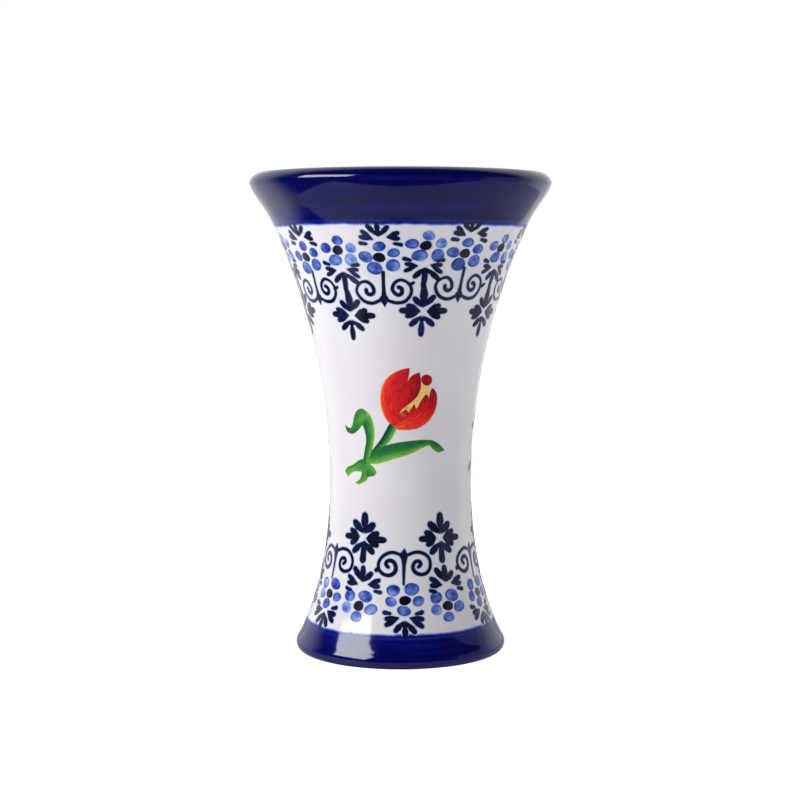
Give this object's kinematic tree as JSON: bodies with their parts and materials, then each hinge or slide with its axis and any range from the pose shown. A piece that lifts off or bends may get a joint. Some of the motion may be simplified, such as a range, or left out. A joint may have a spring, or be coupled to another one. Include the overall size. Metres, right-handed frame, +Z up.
{
  "type": "flower vase",
  "caption": "Flared trumpet-shaped earthenware flower vase, open at the top, with cobalt glaze at lip and foot and a hand-painted floral decoration on white glaze.",
  "frame": {"origin": "centre of the foot ring, on the surface that the vase stands on", "axes": "+Z up along the vase's axis, towards the mouth; the front tulip faces -Y"},
  "size_m": [0.1256, 0.1256, 0.2],
  "materials": {
    "bare_clay": "matte, unglazed, fine-grained",
    "white_glaze": "glossy, slightly cool white, faintly uneven",
    "cobalt_glaze": "glossy deep cobalt blue with brushed bands",
    "navy_paint": "near-black blue brush strokes under the gloss, soft-edged, for the borders",
    "blue_wash": "thin watery cobalt blue for the small petals",
    "tulip_paint": "red to orange and yellow brushwork of the tulips",
    "leaf_paint": "dark to light green brushwork of stems and leaves"
  },
  "bodies": {
    "root": {"clay_body": "bare_clay", "outer_glaze": "white_glaze", "lip_glaze": "cobalt_glaze", "foot_glaze": "cobalt_glaze", "inner_glaze": "white_glaze", "base_glaze": "white_glaze"}
  },
  "joints": []
}
